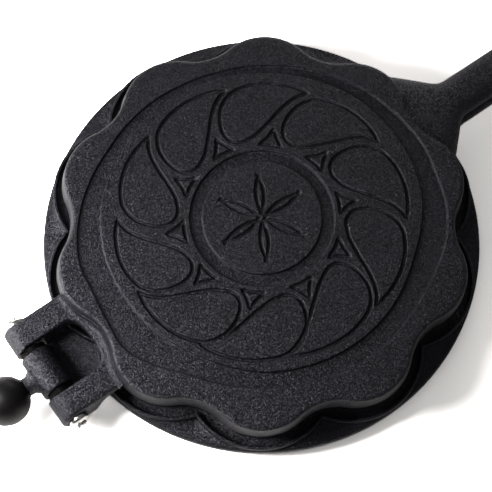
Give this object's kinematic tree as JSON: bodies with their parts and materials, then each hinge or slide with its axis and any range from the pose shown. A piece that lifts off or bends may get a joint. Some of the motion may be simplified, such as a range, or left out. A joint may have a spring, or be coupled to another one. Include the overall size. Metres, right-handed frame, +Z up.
{
  "type": "stovetop waffle iron",
  "caption": "Cast-iron stovetop waffle iron: lobed lid with engraved top hinged to a round flanged plate, paired straight handles, ball stud outside the hinge for turning it over.",
  "frame": {"origin": "on the table under the middle of the iron's overall box", "axes": "+X along the handles, away from the hinge; +Y to the left of that; +Z up"},
  "size_m": [0.45, 0.22, 0.037],
  "materials": {
    "casting": "black baked coating over a sandy cast surface",
    "stud": "smooth turned and blackened",
    "pin": "plain turned steel",
    "screw": "bright zinc-plated steel"
  },
  "bodies": {
    "lower_half": {"lower_plate": "casting", "ball_stud": "stud"},
    "upper_half": {"upper_plate": "casting", "hinge_pin": "pin", "hinge_screw_left": "screw", "hinge_screw_right": "screw", "spacer_washer_left": "pin", "spacer_washer_right": "pin"}
  },
  "joints": [
    {"name": "lid", "type": "hinge", "parent": "lower_half", "child": "upper_half", "pos_m": [-0.1891, 0, 0.019], "axis": [0, -1, 0], "range_deg": [0, 125]}
  ]
}
